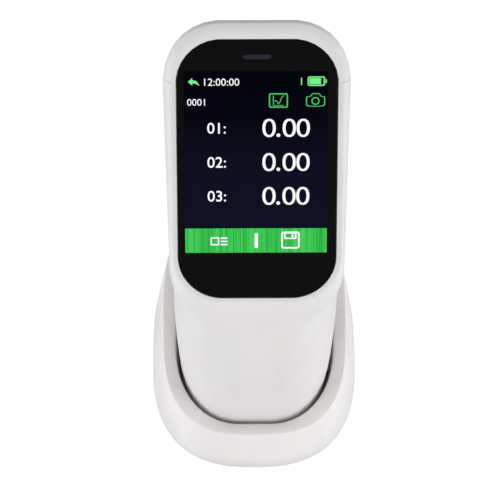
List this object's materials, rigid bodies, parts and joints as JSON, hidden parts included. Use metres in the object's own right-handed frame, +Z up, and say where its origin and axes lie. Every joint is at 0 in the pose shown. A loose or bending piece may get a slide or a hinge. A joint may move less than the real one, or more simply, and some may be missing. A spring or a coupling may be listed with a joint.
{
  "type": "colorimeter",
  "caption": "Handheld colour-measuring instrument with an inclined screen, standing in its calibration cradle, with press buttons and a twist-out measuring ring.",
  "frame": {"origin": "on the table, under the middle of the cradle", "axes": "+Z up, +X to the right of someone who faces the screen, -Y towards them"},
  "size_m": [0.0878, 0.0996, 0.2198],
  "materials": {
    "cradle_shell": "warm light grey moulded plastic, fine satin",
    "cradle_base_plate": "warm light grey moulded plastic",
    "feet": "dark grey rubber",
    "screws": "plated steel",
    "tile_holder": "matte black plastic",
    "calibration_tile": "glazed white ceramic",
    "front_shell": "warm light grey moulded plastic, fine satin",
    "rear_shell": "warm light grey moulded plastic, fine satin",
    "top_cap": "warm light grey moulded plastic, fine satin",
    "screen_bezel": "warm light grey moulded plastic",
    "screen_glass": "black glass, polished",
    "indicator_window": "dark violet plastic",
    "display_module": "display panel",
    "display_bracket": "pressed plated sheet",
    "boards": "green circuit board",
    "bottom_cover": "matte black plastic",
    "measuring_aperture": "matte black plastic",
    "sphere": "matt white coating",
    "lens_tube": "black anodised",
    "camera_module": "matte black plastic",
    "optics_chassis": "dark anodised",
    "spectrometer_module": "dark anodised",
    "battery": "cell in a blue sleeve",
    "measure_button": "satin grey plastic",
    "power_button": "satin grey plastic",
    "charging_port": "plated shell"
  },
  "bodies": {
    "cradle": {"cradle_shell": "cradle_shell", "cradle_base_plate": "cradle_base_plate", "cradle_foot_1": "feet", "cradle_foot_2": "feet", "cradle_foot_3": "feet", "cradle_foot_4": "feet", "cradle_screw_1": "screws", "cradle_screw_2": "screws", "cradle_screw_3": "screws", "cradle_screw_4": "screws", "tile_holder": "tile_holder", "calibration_tile": "calibration_tile"},
    "instrument": {"front_shell": "front_shell", "rear_shell": "rear_shell", "top_cap": "top_cap", "screen_bezel": "screen_bezel", "screen_glass": "screen_glass", "indicator_window": "indicator_window", "display_module": "display_module", "display_bracket": "display_bracket", "main_board": "boards", "antenna_board": "boards", "bottom_cover": "bottom_cover", "sphere_lower": "sphere", "sphere_upper": "sphere", "lamp_board": "boards", "lens_tube": "lens_tube", "camera_module": "camera_module", "optics_chassis": "optics_chassis", "spectrometer_module": "spectrometer_module", "optics_board": "boards", "battery": "battery", "switch_board": "boards", "charging_port": "charging_port", "bottom_screw_1": "screws", "bottom_screw_2": "screws", "bottom_screw_3": "screws", "bottom_screw_4": "screws", "housing_screw_1": "screws", "housing_screw_2": "screws", "housing_screw_3": "screws", "housing_screw_4": "screws", "bracket_screw_1": "screws", "bracket_screw_2": "screws", "bracket_screw_3": "screws", "bracket_screw_4": "screws"},
    "measure_button": {"measure_button": "measure_button"},
    "power_button": {"power_button": "power_button"},
    "measuring_aperture": {"measuring_aperture": "measuring_aperture"}
  },
  "joints": [
    {"name": "instrument_lift", "type": "slide", "parent": "cradle", "child": "instrument", "axis": [0, 0, 1], "range_m": [0, 0.06]},
    {"name": "measure_button_press", "type": "slide", "parent": "instrument", "child": "measure_button", "axis": [0, -1, 0], "range_m": [0, 0.001], "stiffness_N_per_m": 800, "springref_m": -0.0005},
    {"name": "power_button_press", "type": "slide", "parent": "instrument", "child": "power_button", "axis": [0, -1, 0], "range_m": [0, 0.001], "stiffness_N_per_m": 800, "springref_m": -0.0005},
    {"name": "aperture_twist", "type": "hinge", "parent": "instrument", "child": "measuring_aperture", "pos_m": [0, -0.00415, 0.0062], "axis": [0, 0, 1], "range_deg": [0, 30]}
  ]
}
